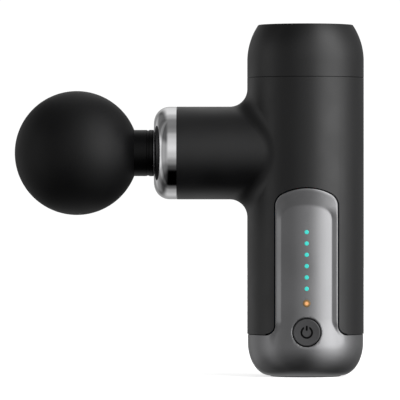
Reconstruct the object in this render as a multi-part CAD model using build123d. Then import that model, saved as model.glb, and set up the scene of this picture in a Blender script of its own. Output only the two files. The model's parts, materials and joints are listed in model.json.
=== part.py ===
from build123d import *
import os
from math import asin, cos, degrees, radians, sin, sqrt

# A compact percussion massage gun with a T-shaped body, in millimetres.
# Origin: centre of the foot pad, on the axis of the handle. +Z is up, -X points to the ball head,
# and -Y is the side with the control panel.

# ---------------------------------------------------------------- driving dimensions
HANDLE_R = 23.3          # outer radius of the round handle
WALL = 2.2               # thickness of the housing
HOUSING_BOTTOM = 17.0    # where the black housing ends above the metal-look base
CAP_SEAM = 119.2         # joint between the housing and the top cap
TOTAL_HEIGHT = 140.4
BARREL_Z = 89.2          # height of the barrel, piston and ball axis
BARREL_R = 18.55
BARREL_END = -51.4       # where the chrome nose ring begins
JUNCTION_R = 7.0         # fillet between the barrel and the handle
NOSE_END = -60.6         # front face of the nose ring
NOSE_R = 18.2
BALL_R = 24.8
BALL_X = -91.5
NECK_R = 9.2             # piston and neck
STROKE = 7.0             # travel of the piston
ROD_LENGTH = 32.0        # between the two pins of the connecting rod

RUNNING = 0.05           # radial clearance of a running fit
GAP = 0.4                # visible gap round the control panel and the button
SEAM = 0.05              # half of the parting line between the two housing shells

# Values worked out from them
THROW = STROKE / 2
WRIST_X = THROW - ROD_LENGTH
ROD_SWING = degrees(asin(THROW / ROD_LENGTH))
INNER_R = HANDLE_R - WALL
BARREL_BORE = BARREL_R - WALL

CENTRE = Align.CENTER
FROM_BASE = (CENTRE, CENTRE, Align.MIN)


# ---------------------------------------------------------------- shape helpers
def disc(radius, z0, z1, x=0.0, y=0.0):
    """Upright cylinder from z0 to z1."""
    return Pos(x, y, z0) * Cylinder(radius, z1 - z0, align=FROM_BASE)


def tube(outer, inner, z0, z1, x=0.0, y=0.0):
    """Upright tube from z0 to z1."""
    return disc(outer, z0, z1, x, y) - disc(inner, z0 - 1, z1 + 1, x, y)


def bar_x(radius, x0, x1, y=0.0, z=BARREL_Z):
    """Cylinder lying along X."""
    return Pos(x0, y, z) * Rot(0, 90, 0) * Cylinder(radius, x1 - x0, align=FROM_BASE)


def bar_y(radius, y0, y1, x, z):
    """Cylinder lying along Y."""
    return Pos(x, y0, z) * Rot(-90, 0, 0) * Cylinder(radius, y1 - y0, align=FROM_BASE)


def block(x0, x1, y0, y1, z0, z1):
    return Pos((x0 + x1) / 2, (y0 + y1) / 2, (z0 + z1) / 2) * Box(x1 - x0, y1 - y0, z1 - z0)


def turned(points):
    """Solid of revolution about the handle axis from (radius, height) points."""
    outline = Polyline(*[(r, 0, z) for r, z in points], close=True)
    return revolve(make_face(outline), Axis.Z, 360)


def turned_x(points):
    """Solid of revolution about the barrel axis from (x, radius) points."""
    outline = Polyline(*[(x, 0, BARREL_Z + r) for x, r in points], close=True)
    return revolve(make_face(outline), Axis((0, 0, BARREL_Z), (1, 0, 0)), 360)


def around(count, shape, first=0.0):
    """Copies of a shape turned about the handle axis."""
    return [Rot(0, 0, first + 360 * i / count) * shape for i in range(count)]


def fused(shapes):
    total = shapes[0]
    for shape in shapes[1:]:
        total += shape
    return total


def wire(points, radius, bend):
    """Round wire along straight runs with rounded corners."""
    path = FilletPolyline(*points, radius=bend)
    start = Plane(origin=path @ 0, z_dir=path % 0)
    return sweep(start * Circle(radius), path=path)


# ---------------------------------------------------------------- control panel outline
PANEL_HALF = 12.5        # half width of the metal-look tongue
PANEL_TOP = 75.1
PANEL_CORNER = 5.4
PANEL_ARCH = 21.0        # radius of the arched top edge
PANEL_FOOT = 3.7         # radius where the tongue flares into the base
SCOOP_HALF = 10.3        # half width of the finger scoop, at its rim
SCOOP_TOP = 68.3
SCOOP_CORNER = 4.4
SCOOP_ARCH = 20.0
BASE_R = HANDLE_R - 0.25


def arched_top(half, top, corner, arch):
    """Height where the straight sides end, and the three arcs that close the outline above them."""
    spread = arch - corner
    rise = sqrt(spread**2 - (half - corner) ** 2)
    shoulder = top - arch + rise
    x = (half - corner) * arch / spread
    z = top - arch + rise * arch / spread
    arcs = [
        TangentArc((half, shoulder), (x, z), tangent=(0, 1)),
        ThreePointArc((x, z), (0, top), (-x, z)),
        TangentArc((-half, shoulder), (-x, z), tangent=(0, 1)),
    ]
    return shoulder, arcs


def panel_outline(grow, bottom):
    """Face of the tongue seen from the front, widened by grow, with flared feet."""
    half = PANEL_HALF + grow
    foot = PANEL_FOOT - grow
    foot_z = HOUSING_BOTTOM + PANEL_FOOT
    shoulder, arcs = arched_top(half, PANEL_TOP + grow, PANEL_CORNER + grow, PANEL_ARCH + grow)
    edges = [
        Line((-half - foot, bottom), (half + foot, bottom)),
        Line((half + foot, bottom), (half + foot, foot_z - foot)),
        RadiusArc((half + foot, foot_z - foot), (half, foot_z), foot),
        Line((half, foot_z), (half, shoulder)),
        *arcs,
        Line((-half, shoulder), (-half, foot_z)),
        RadiusArc((-half, foot_z), (-half - foot, foot_z - foot), foot),
        Line((-half - foot, foot_z - foot), (-half - foot, bottom)),
    ]
    return Plane.XZ * make_face(edges)


def through_front(face, depth=30.0):
    """Prism of a front-facing outline, from the handle axis outwards to the front."""
    return extrude(face, amount=depth, dir=(0, -1, 0))


# ---------------------------------------------------------------- housing
NECK_BOTTOM = 11.2       # lower rim of the spigot that sits inside the base
NECK_OUTER = 21.2
NECK_INNER = 20.1
NECK_GAP = 17.0          # half width of the opening in the spigot behind the tongue's feet
COLLAR_TOP = 130.0       # upper rim of the collar that the top cap snaps over
COLLAR_OUTER = 20.9
COLLAR_INNER = 19.1
NOSE_COLLAR = (-54.9, 16.7)
CAP_BEVEL = 0.22         # bevel round the lower edge of the top cap, which shows as a fine line
# screws that join the shells: x, z, boss radius, seat under the head, end of the rear boss
SHELL_SCREW_TOP = (15.5, 125.0, 2.6, -9.3, 10.3)
SHELL_SCREW_BOTTOM = (17.9, 12.0, 1.9, -5.6, 7.0)
SHELL_SCREW_LENGTH = 10.0


def housing_blank():
    """Both shells in one, with the T-shaped cavity and the window for the control panel."""
    handle = disc(HANDLE_R, HOUSING_BOTTOM, CAP_SEAM)
    barrel = bar_x(BARREL_R, BARREL_END, 0)
    body = handle + barrel

    def on_junction(edge):
        p = edge @ 0.3
        on_handle = abs(sqrt(p.X**2 + p.Y**2) - HANDLE_R) < 0.01
        on_barrel = abs(sqrt(p.Y**2 + (p.Z - BARREL_Z) ** 2) - BARREL_R) < 0.01
        return on_handle and on_barrel and p.X < 0

    body = fillet([e for e in body.edges() if on_junction(e)], JUNCTION_R)
    body += disc(NECK_OUTER, NECK_BOTTOM, HOUSING_BOTTOM + 1)
    body += disc(COLLAR_OUTER, CAP_SEAM - 1, COLLAR_TOP)
    body += bar_x(NOSE_COLLAR[1], NOSE_COLLAR[0], BARREL_END + 1)
    cavity = turned([
        (0, NECK_BOTTOM - 1), (NECK_INNER, NECK_BOTTOM - 1), (NECK_INNER, HOUSING_BOTTOM + 2),
        (INNER_R, HOUSING_BOTTOM + 3), (INNER_R, CAP_SEAM - 5), (COLLAR_INNER, CAP_SEAM - 3),
        (COLLAR_INNER, COLLAR_TOP + 1), (0, COLLAR_TOP + 1),
    ])
    cavity += bar_x(BARREL_BORE, BARREL_END + 0.5, 0)
    cavity += bar_x(NOSE_COLLAR[1] - 1.5, NOSE_COLLAR[0] - 1, BARREL_END + 1)
    body -= cavity
    for x, z, boss_r, seat, rear_end in shell_screw_places():
        body += bar_y(boss_r, seat, rear_end, x, z)
    body -= block(-NECK_GAP, NECK_GAP, -30, -9, NECK_BOTTOM - 1, HOUSING_BOTTOM)
    return body - through_front(panel_outline(GAP, NECK_BOTTOM - 2))


def shell_screw_places():
    """The two screw places on the right, and their mirror images on the left."""
    right = [SHELL_SCREW_TOP, SHELL_SCREW_BOTTOM]
    return right + [(-x, *rest) for x, *rest in right]


def screw_y(x, z, seat, length, shank=0.8, head=1.5, head_height=1.0):
    """Pan-head screw pointing along +Y with a cross recess in its head."""
    body = bar_y(shank, seat - 0.1, seat + length, x, z)
    body += bar_y(head, seat - head_height, seat, x, z)
    slot = block(x - 0.9, x + 0.9, seat - head_height - 1, seat - 0.45, z - 0.2, z + 0.2)
    return body - slot - Pos(x, 0, z) * Rot(0, 90, 0) * Pos(-x, 0, -z) * slot


def housing_shells():
    blank = housing_blank()
    for x, z, _, seat, _ in shell_screw_places():
        blank -= bar_y(0.8, seat - 10, seat + SHELL_SCREW_LENGTH + 0.2, x, z)
        blank -= bar_y(1.7, seat - 10, seat, x, z)
    reach = 200
    front = blank & block(-reach, reach, -reach, -SEAM, 0, reach)
    rear = blank & block(-reach, reach, SEAM, reach, 0, reach)
    return front, rear


def top_cap():
    """Cup with straight sides, a rolled shoulder and a flat crown."""
    crown_r = 18.9
    shoulder = 126.0
    outside = [
        Line((0, CAP_SEAM), (HANDLE_R - CAP_BEVEL, CAP_SEAM)),
        Line((HANDLE_R - CAP_BEVEL, CAP_SEAM), (HANDLE_R, CAP_SEAM + CAP_BEVEL)),
        Line((HANDLE_R, CAP_SEAM + CAP_BEVEL), (HANDLE_R, shoulder)),
        TangentArc((HANDLE_R, shoulder), (crown_r, TOTAL_HEIGHT), tangent=(0, 1)),
        Line((crown_r, TOTAL_HEIGHT), (0, TOTAL_HEIGHT)),
        Line((0, TOTAL_HEIGHT), (0, CAP_SEAM)),
    ]
    cap = revolve(Plane.XZ * make_face(outside), Axis.Z, 360)
    rim = [e for e in cap.edges() if abs((e @ 0.5).Z - TOTAL_HEIGHT) < 0.01 and e.length > 50]
    cap = fillet(rim, 0.35)
    inside = INNER_R
    cap -= turned([
        (0, CAP_SEAM - 1), (inside, CAP_SEAM - 1), (inside, shoulder + 4),
        (inside - 1.6, shoulder + 9), (inside - 5, TOTAL_HEIGHT - WALL), (0, TOTAL_HEIGHT - WALL),
    ])
    crush_rib = block(COLLAR_OUTER, inside + 0.5, -0.6, 0.6, CAP_SEAM + 1, COLLAR_TOP)
    return cap + fused(around(6, crush_rib, 30))


# ---------------------------------------------------------------- base with control panel
BASE_WALL = 1.6
TONGUE_INNER = 18.8
SCOOP_FLOOR = 21.9       # radius of the scoop's floor, about the handle axis
SCOOP_RAMP = (11.5, 23.5)   # heights between which the floor runs out to the surface
BUTTON_Z = 18.0
BUTTON_R = 5.4
BUTTON_FACE = -22.1
PORT_Z = 9.3
SPEED_LIGHTS = [35.3 + 4.48 * i for i in range(6)]
CHARGE_LIGHT = 29.5
LIGHT_R = 0.85
CHARGE_LIGHT_R = 1.5
FOOT_R = 14.0
FOOT_RECESS = 0.9
BASE_FLAT = 14.2
BASE_LIFT = 0.3          # gap between the base's rim and the surface it stands on
BASE_SHOULDER = 13.5     # height where the rounded foot of the base begins


def base_profile(inset, bottom, top):
    """Half section of the base: straight side, elliptical shoulder, flat bottom."""
    side = BASE_R - inset
    flat = BASE_FLAT - inset * 0.5
    edges = [
        Line((0, bottom), (flat, bottom)),
        EllipticalCenterArc(
            (flat, BASE_SHOULDER), side - flat, BASE_SHOULDER - bottom, start_angle=270, arc_size=90
        ),
        Line((side, BASE_SHOULDER), (side, top)),
        Line((side, top), (0, top)),
        Line((0, top), (0, bottom)),
    ]
    return Plane.XZ * make_face(edges)


def scoop():
    """Space above the floor of the finger scoop, with its run-out ramp towards the base."""
    half = SCOOP_HALF
    shoulder, arcs = arched_top(half, SCOOP_TOP, SCOOP_CORNER, SCOOP_ARCH)
    low, high = SCOOP_RAMP
    flare = half + 2.2
    outline = [
        Line((-flare, low), (flare, low)),
        Spline((flare, low), (half, high - 2.0), tangents=((-0.25, 1), (0, 1))),
        Line((half, high - 2.0), (half, shoulder)),
        *arcs,
        Line((-half, shoulder), (-half, high - 2.0)),
        Spline((-half, high - 2.0), (-flare, low), tangents=((0, -1), (-0.25, -1))),
    ]
    prism = through_front(Plane.XZ * make_face(outline))
    section = [
        Line((SCOOP_FLOOR, high), (SCOOP_FLOOR, PANEL_TOP)),
        Line((SCOOP_FLOOR, PANEL_TOP), (30, PANEL_TOP)),
        Line((30, PANEL_TOP), (30, low)),
        Line((30, low), (BASE_R, low)),
        Spline((BASE_R, low), (SCOOP_FLOOR, high), tangents=((0, 1), (0, 1))),
    ]
    return prism & revolve(Plane.XZ * make_face(section), Axis.Z, 360)


def base_cap():
    """Metal-look base cup, with the tongue of the control panel standing up from it."""
    top = HOUSING_BOTTOM - 0.15
    cup = revolve(base_profile(0, BASE_LIFT, top), Axis.Z, 360)
    cup -= revolve(base_profile(BASE_WALL, BASE_LIFT + 2.0, top + 1), Axis.Z, 360)
    cup -= disc(FOOT_R + 0.1, -1, FOOT_RECESS)
    tongue = tube(BASE_R, TONGUE_INNER, 8.5, 90) & through_front(panel_outline(0, 8.5))
    base = cup + tongue - scoop()
    for x in (-PANEL_BOSS[0], PANEL_BOSS[0]):
        base += bar_y(1.6, -18.2, BOARD_FRONT, x, PANEL_BOSS[1])
        base -= bar_y(0.7, BOARD_FRONT - 4.5, BOARD_FRONT + 1, x, PANEL_BOSS[1])
    for z in SPEED_LIGHTS:
        base -= bar_y(LIGHT_R + 0.03, -30, -10, 0, z)
    base -= bar_y(CHARGE_LIGHT_R + 0.03, -30, -10, 0, CHARGE_LIGHT)
    base -= bar_y(BUTTON_R + GAP, -30, -18.0, 0, BUTTON_Z)
    base -= bar_y(BUTTON_R + 1.6, -18.2, -15.0, 0, BUTTON_Z)
    base -= port_slot(0.25, 15, 30)
    posts = [disc(2.0, 1.5, CHARGE_BOARD_Z, x, y) for x, y in CHARGE_POSTS]
    holes = [disc(0.7, CHARGE_BOARD_Z - 3, CHARGE_BOARD_Z + 1, x, y) for x, y in CHARGE_POSTS]
    return base + fused(posts) - fused(holes)


def foot_pad():
    """Thin rubber disc let into the bottom of the base."""
    pad = disc(FOOT_R, 0, FOOT_RECESS - 0.02)
    groove = tube(10.2, 9.6, -1, 0.25)
    return pad - groove


def port_slot(grow, y0, y1):
    """Rounded slot of the charging inlet, pointing to the rear."""
    face = Plane.XZ * Pos(0, PORT_Z) * SlotOverall(8.94 + 2 * grow, 3.26 + 2 * grow)
    return Pos(0, y1, 0) * extrude(face, amount=y1 - y0, dir=(0, -1, 0))


# ---------------------------------------------------------------- power button
BUTTON_TRAVEL = 0.5
FLANGE_FRONT = -17.4


def power_button():
    """Round key with a slightly dished face and a flange behind the panel."""
    key = bar_y(BUTTON_R, BUTTON_FACE, -16.6, 0, BUTTON_Z)
    edge = [e for e in key.edges() if abs((e @ 0.5).Y - BUTTON_FACE) < 0.01]
    key = fillet(edge, 0.45)
    key += bar_y(BUTTON_R + 0.9, FLANGE_FRONT, -16.6, 0, BUTTON_Z)
    key += bar_y(1.4, -16.7, -15.85, 0, BUTTON_Z)
    dish_r = 60.0
    dish_depth = 0.22
    key -= Pos(0, BUTTON_FACE + dish_depth - dish_r, BUTTON_Z) * Sphere(dish_r)
    return key - symbol_solid(0.0)


def symbol_solid(inset):
    """Standard power mark: an open ring with a bar, let into the face of the button."""
    outer = 2.5 - inset
    inner = 1.72 + inset
    y0 = BUTTON_FACE + 0.16
    y1 = BUTTON_FACE + 0.75
    ring = bar_y(outer, y0, y1, 0, BUTTON_Z) - bar_y(inner, y0 - 1, y1 + 1, 0, BUTTON_Z)
    ring -= block(-1.0 - inset, 1.0 + inset, y0 - 1, y1 + 1, BUTTON_Z, BUTTON_Z + 3)
    bar = block(-0.4 + inset, 0.4 - inset, y0, y1, BUTTON_Z + 0.7 + inset, BUTTON_Z + 3.0 - inset)
    return ring + bar


# ---------------------------------------------------------------- boards and switch
BOARD_FRONT = -12.6
BOARD_T = 1.2
PANEL_BOSS = (8.2, 62.0)
CHARGE_BOARD_Z = 6.2
CHARGE_POSTS = [(-12.5, -2.0), (12.5, -2.0)]
SWITCH_FACE = BOARD_FRONT - 2.5


def control_board():
    """Upright circuit board behind the control panel."""
    board = block(-11, 11, BOARD_FRONT, BOARD_FRONT + BOARD_T, 12.2, 72.0)
    board = fillet(board.edges().filter_by(Axis.Y), 1.5)
    for x in (-PANEL_BOSS[0], PANEL_BOSS[0]):
        board -= bar_y(0.9, BOARD_FRONT - 1, BOARD_FRONT + 3, x, PANEL_BOSS[1])
    return board


def board_screws():
    """Two screws through the control board, with their heads to the rear."""
    screws = []
    seat = BOARD_FRONT + BOARD_T
    for x in (-PANEL_BOSS[0], PANEL_BOSS[0]):
        screw = screw_y(x, PANEL_BOSS[1], -seat, 4.8, shank=0.68, head=1.4)
        screws.append(mirror(screw, about=Plane.XZ))
    return screws


def status_leds():
    """Surface-mounted lamps on the board behind each light pipe."""
    leds = []
    for z in SPEED_LIGHTS + [CHARGE_LIGHT]:
        lamp = block(-0.8, 0.8, BOARD_FRONT - 0.45, BOARD_FRONT, z - 0.5, z + 0.5)
        leds.append(lamp + block(-0.5, 0.5, BOARD_FRONT - 0.8, BOARD_FRONT - 0.4, z - 0.4, z + 0.4))
    return leds


def light_pipe(z, radius):
    """Clear pin from the lamp to the floor of the scoop, with a flange behind the panel."""
    pin = bar_y(radius, -SCOOP_FLOOR - 0.12, BOARD_FRONT - 1.1, 0, z)
    front = [e for e in pin.edges() if (e @ 0.5).Y < -SCOOP_FLOOR]
    pin = fillet(front, 0.3)
    return pin + bar_y(radius + 0.45, -18.2, -17.4, 0, z)


def tact_switch():
    """Small push switch on the board behind the power button."""
    z = BUTTON_Z
    case = block(-3, 3, SWITCH_FACE, BOARD_FRONT, z - 3, z + 3)
    case -= bar_y(1.7, SWITCH_FACE - 1, BOARD_FRONT - 0.6, 0, z)
    foot = BOARD_FRONT - 1.0
    legs = [block(x - 0.35, x + 0.35, foot, BOARD_FRONT, z - 3.9, z + 3.9) for x in (-2.2, 2.2)]
    return case + fused(legs)


def switch_plunger():
    """Plunger of the push switch, which travels with the button."""
    plunger = bar_y(1.6, -15.85, -14.0, 0, BUTTON_Z)
    rim = [e for e in plunger.edges() if abs((e @ 0.5).Y + 15.85) < 0.01]
    return fillet(rim, 0.25)


def control_chips():
    """Controller, motor drivers and capacitors on the rear of the control board."""
    back = BOARD_FRONT + BOARD_T
    chips = [
        block(-3.5, 3.5, back, back + 1.0, 44, 51),
        block(-8.6, -3.8, back, back + 1.3, 27, 33),
        block(3.8, 8.6, back, back + 1.3, 27, 33),
        block(-2.4, 2.4, back, back + 1.3, 27, 33),
        block(-8.0, -5.2, back, back + 1.6, 38, 40),
        block(5.2, 8.0, back, back + 1.6, 38, 40),
    ]
    cans = [bar_y(2.6, back, back + 4.6, x, 56.5) for x in (-5.5, 5.5)]
    return chips + [fillet(can.edges().sort_by(Axis.Y)[-1:], 0.4) for can in cans]


def charge_board():
    """Level circuit board in the base that carries the charging inlet."""
    board = disc(17.2, CHARGE_BOARD_Z, CHARGE_BOARD_Z + BOARD_T)
    board -= block(-30, 30, -30, -9.0, 0, 20)
    for x, y in CHARGE_POSTS:
        board -= disc(0.9, 0, 20, x, y)
    return board


def charge_board_screws():
    top = CHARGE_BOARD_Z + BOARD_T
    screws = []
    for x, y in CHARGE_POSTS:
        screw = disc(0.68, top - 4.0, top + 0.1, x, y) + disc(1.4, top, top + 0.9, x, y)
        slot = block(x - 0.9, x + 0.9, y - 0.2, y + 0.2, top + 0.45, top + 2)
        screws.append(screw - slot - Pos(x, y) * Rot(0, 0, 90) * Pos(-x, -y) * slot)
    return screws


def charge_chip():
    """Charging controller and its choke."""
    top = CHARGE_BOARD_Z + BOARD_T
    return [block(-2.5, 2.5, 0, 5, top, top + 1), block(5, 9.4, 2, 6.4, top, top + 2.4)]


def usb_c_socket():
    """USB-C receptacle: a rounded metal shell with the contact tongue inside."""
    y0, y1 = 14.2, 21.9
    shell = port_slot(0.0, y0, y1) - port_slot(-0.3, y0 + 0.8, y1 + 1)
    shell += block(-3.35, 3.35, y0 + 0.5, y1 - 1.2, PORT_Z - 0.35, PORT_Z + 0.35)
    return shell + block(-3.4, 3.4, y0 + 0.2, 16.8, CHARGE_BOARD_Z + BOARD_T, PORT_Z - 1.5)


# ---------------------------------------------------------------- battery
CELL_R = 9.2
CELL_X = 9.3
CELL_Y = 5.2
CELL_Z = (15.1, 80.1)
CELL_PLACES = [(-CELL_X, CELL_Y), (CELL_X, CELL_Y)]


def battery_cell(x, y):
    """Round lithium cell, with its raised positive button and crimp groove."""
    z0, z1 = CELL_Z
    groove = z1 - 3.2
    cell = turned([
        (0, z0), (CELL_R - 0.4, z0), (CELL_R, z0 + 0.4), (CELL_R, groove - 0.5), (CELL_R - 0.45, groove),
        (CELL_R, groove + 0.5), (CELL_R, z1 - 0.9), (CELL_R - 0.5, z1 - 0.35), (3.4, z1 - 0.35),
        (3.1, z1), (0, z1),
    ])
    return Pos(x, y) * cell


def cell_wells(grow):
    """Room for the cells and the strips on their ends."""
    low, high = CELL_Z[0] - 0.25, CELL_Z[1] + 0.25
    return fused([disc(CELL_R + grow, low, high, x, y) for x, y in CELL_PLACES])


def battery_cradle():
    """Plastic frame of the cells: two end plates joined by a spine in each valley between them."""
    z0, z1 = CELL_Z
    low, high = z0 - 1.1, z1 + 0.85
    plates = disc(19.8, low, low + 0.85) + disc(19.8, high - 0.6, high)
    spines = block(-5.5, 5.5, -4.9, 1.0, low, high) + block(-5.5, 5.5, 9.4, 13.5, low, high)
    return (plates & block(-25, 25, -4.9, 25, 0, 200)) + (spines - cell_wells(0.1))


def cell_tabs():
    """Nickel strips: a link across the top of the cells and one tab under each."""
    z0, z1 = CELL_Z
    link = block(-CELL_X - 3, CELL_X + 3, CELL_Y - 2.5, CELL_Y + 2.5, z1, z1 + 0.2)
    tabs = [block(x - 2.5, x + 2.5, CELL_Y - 9.5, CELL_Y + 3, z0 - 0.2, z0) for x, _ in CELL_PLACES]
    return [link] + tabs


def cell_insulators():
    """Paper washers round the positive ends of the cells."""
    z = CELL_Z[1] - 0.34
    return [tube(CELL_R - 0.7, 3.5, z, z + 0.3, x, y) for x, y in CELL_PLACES]


# ---------------------------------------------------------------- drive frame and piston
CASE_R = 20.75
CASE_INNER = 19.0
CASE_FLOOR = (81.0, 82.8)
MOUNT_Z = (98.6, 101.0)
SLEEVE_R = 13.0
SLEEVE_BORE = 11.0
SLEEVE_FRONT = -57.5
SLEEVE_MOUTH = -15.0     # the sleeve's bore opens the crankcase wall as far in as this
MOUNT_SCREWS = [(18.2 * cos(radians(a)), 18.2 * sin(radians(a))) for a in (45, 135, 225, 315)]
LEAD_SLOT = (-5.4, 5.4)


def drive_frame():
    """Cast frame: round crankcase under the motor, and the sleeve that holds the piston bushings."""
    z0, z1 = CASE_FLOOR[0], MOUNT_Z[0]
    frame = disc(CASE_R, z0, z1) - disc(CASE_INNER, CASE_FLOOR[1], z1 + 1)
    bosses = [disc(1.9, z0, z1, x, y) for x, y in MOUNT_SCREWS]
    frame += fused(bosses) & disc(CASE_R, z0, z1)
    frame += bar_x(SLEEVE_R, SLEEVE_FRONT, -10) - disc(CASE_R - 0.2, 0, 200)
    frame -= bar_x(SLEEVE_BORE, SLEEVE_FRONT - 1, SLEEVE_MOUTH)
    frame -= block(LEAD_SLOT[0], LEAD_SLOT[1], -25, -18.6, 0, 200)
    frame -= disc(5.0, 0, 84)
    for x, y in MOUNT_SCREWS:
        frame -= disc(0.95, z1 - 5.5, z1 + 1, x, y)
    return frame


def bushing(x0, x1):
    """Plain bearing of the piston, with a chamfered bore."""
    bore = NECK_R + RUNNING
    outer = SLEEVE_BORE - 0.02
    return turned_x([
        (x0, bore + 0.5), (x0 + 0.5, bore), (x1 - 0.5, bore), (x1, bore + 0.5), (x1, outer - 0.3),
        (x1 - 0.3, outer), (x0 + 0.3, outer), (x0, outer - 0.3),
    ])


def barrel_damper(x):
    """Ribbed rubber ring between the sleeve and the barrel."""
    inner = SLEEVE_R + 0.05
    outer = BARREL_BORE - 0.05
    return turned_x([
        (x - 2.5, inner), (x - 2.5, outer), (x - 1.1, outer), (x - 0.6, outer - 1.0), (x + 0.6, outer - 1.0),
        (x + 1.1, outer), (x + 2.5, outer), (x + 2.5, inner),
    ])


PISTON_FRONT = -62.6
PISTON_REAR = -24.0
SOCKET_R = 7.15
SOCKET_END = -40.2
CLEVIS = (86.4, 92.0)
PIN_R = 2.0


def piston():
    """Piston with the head socket in front and the clevis of the connecting rod behind."""
    body = turned_x([
        (PISTON_FRONT, 0), (PISTON_FRONT, NECK_R - 0.1), (PISTON_FRONT + 0.2, NECK_R + 0.1),
        (-61.1, NECK_R + 0.1), (-60.9, NECK_R), (PISTON_REAR - 0.6, NECK_R), (PISTON_REAR, NECK_R - 0.6),
        (PISTON_REAR, 0),
    ])
    body -= turned_x([
        (PISTON_FRONT - 1, 0), (PISTON_FRONT - 1, SOCKET_R), (SOCKET_END, SOCKET_R),
        (SOCKET_END + 1.5, SOCKET_R - 3), (SOCKET_END + 1.5, 0),
    ])
    slot_end = WRIST_X - 6.5
    body -= block(slot_end, PISTON_REAR + 1, -12, 12, CLEVIS[0], CLEVIS[1])
    return body - disc(PIN_R, 0, 200, WRIST_X, 0)


def wrist_pin():
    half = NECK_R - 0.8
    pin = disc(PIN_R, BARREL_Z - half, BARREL_Z + half, WRIST_X, 0)
    return chamfer(pin.edges().filter_by(GeomType.CIRCLE), 0.3)


# ---------------------------------------------------------------- connecting rod and crank
ROD_Z = (86.7, 91.7)
BIG_END_R = 8.6
SMALL_END_R = 4.6
BEARING_R = 6.5
CRANK_PIN_R = 2.5
SMALL_BUSH_R = 3.0


def connecting_rod():
    """Flat rod with a round eye at each end and a pocketed web."""
    z0, z1 = ROD_Z
    web = make_face(Polyline((THROW, -6.0), (THROW, 6.0), (WRIST_X, 3.4), (WRIST_X, -3.4), close=True))
    rod = Pos(0, 0, z0 + 0.5) * extrude(web, amount=z1 - z0 - 1.0)
    rod += disc(BIG_END_R, z0, z1, THROW, 0) + disc(SMALL_END_R, z0, z1, WRIST_X, 0)
    pocket = make_face(Polyline((-7.5, -2.6), (-7.5, 2.6), (-21.5, 1.7), (-21.5, -1.7), close=True))
    pocket = Pos(0, 0, z0) * extrude(fillet(pocket.vertices(), 1.0), amount=z1 - z0)
    rod -= pocket - disc(50, BARREL_Z - 0.7, BARREL_Z + 0.7)
    rod -= disc(BEARING_R, 0, 200, THROW, 0)
    return rod - disc(SMALL_BUSH_R, 0, 200, WRIST_X, 0)


def ball_bearing(bore, outer, z0, z1, balls):
    """Deep-groove bearing: two grooved rings and the balls between them, as separate solids."""
    mid_r = (bore + outer) / 2
    mid_z = (z0 + z1) / 2
    ball_r = (outer - bore) * 0.27
    land = ball_r * 0.6
    groove = revolve(Plane.XZ * Pos(mid_r, mid_z) * Circle(ball_r + 0.03), Axis.Z, 360)
    inner_ring = tube(mid_r - land, bore, z0, z1) - groove
    outer_ring = tube(outer, mid_r + land, z0, z1) - groove
    rollers = around(balls, Pos(mid_r, 0, mid_z) * Sphere(ball_r))
    return [inner_ring, outer_ring] + rollers


def big_end_bearing():
    return [Pos(THROW, 0) * part for part in ball_bearing(CRANK_PIN_R, BEARING_R, 87.2, 91.2, 8)]


def small_end_bush():
    return tube(SMALL_BUSH_R, PIN_R + RUNNING, ROD_Z[0], ROD_Z[1], WRIST_X, 0)


def crank_pin():
    """Pin pressed into the big-end bearing, with its head under the bearing."""
    pin = disc(CRANK_PIN_R, 86.4, 94.9, THROW, 0) + disc(CRANK_PIN_R + 0.8, 86.2, 87.15, THROW, 0)
    return chamfer(pin.edges().sort_by(Axis.Z)[-1:], 0.3)


SHAFT_R = 1.97
WHEEL_Z = (92.2, 98.2)
WHEEL_R = 15.5
CRANK_POCKET_R = 8.0
CRANK_POCKET_TOP = 95.4


def flywheel():
    """Eccentric wheel: its pocket gives the crank pin room, and its holes leave the other side heavy."""
    z0, z1 = WHEEL_Z
    wheel = disc(WHEEL_R, z0, z1)
    wheel = chamfer(wheel.edges().filter_by(GeomType.CIRCLE), 0.5)
    wheel -= disc(CRANK_POCKET_R, z0 - 1, CRANK_POCKET_TOP)
    for angle in (-64, -32, 0, 32, 64):
        wheel -= Rot(0, 0, angle) * disc(2.4, z0 - 1, z1 + 1, 11.7, 0)
    return wheel - disc(SHAFT_R + 0.01, 0, 200)


# ---------------------------------------------------------------- motor
TUBE_R = 5.6
TUBE_TOP = 116.4
MOTOR_BEARING_R = 4.5
CAN_R = 17.2
CAN_INNER = 15.9
CAN_Z = (102.6, 119.6)
CORE_Z = (103.6, 113.6)
CORE_R = 14.0
TEETH = 9


def motor_mount():
    """Plate that closes the crankcase, with the bearing tube that carries the stator."""
    z0, z1 = MOUNT_Z
    mount = disc(20.4, z0, z1) + disc(TUBE_R, z1 - 0.5, TUBE_TOP)
    mount -= disc(3.0, 0, 200)
    mount -= disc(MOTOR_BEARING_R, z0 - 1, z0 + 4)
    mount -= disc(MOTOR_BEARING_R, TUBE_TOP - 4, TUBE_TOP + 1)
    mount -= block(LEAD_SLOT[0], LEAD_SLOT[1], -25, -17.6, 0, 200)
    for x, y in MOUNT_SCREWS:
        mount -= disc(1.05, 0, 200, x, y)
        mount -= disc(2.0, z1 - 1.2, z1 + 1, x, y)
    return mount


def mount_screws():
    screws = []
    seat = MOUNT_Z[1] - 1.2
    for x, y in MOUNT_SCREWS:
        screw = disc(0.94, seat - 5.5, seat + 0.1, x, y) + disc(1.9, seat, seat + 1.15, x, y)
        hexagon = Pos(x, y, seat + 0.4) * extrude(RegularPolygon(0.8, 6), amount=2)
        screws.append(screw - hexagon)
    return screws


def motor_bearings():
    low = ball_bearing(SHAFT_R + 0.03, MOTOR_BEARING_R, MOUNT_Z[0], MOUNT_Z[0] + 4, 7)
    high = ball_bearing(SHAFT_R + 0.03, MOTOR_BEARING_R, TUBE_TOP - 4, TUBE_TOP, 7)
    return low + high


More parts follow.
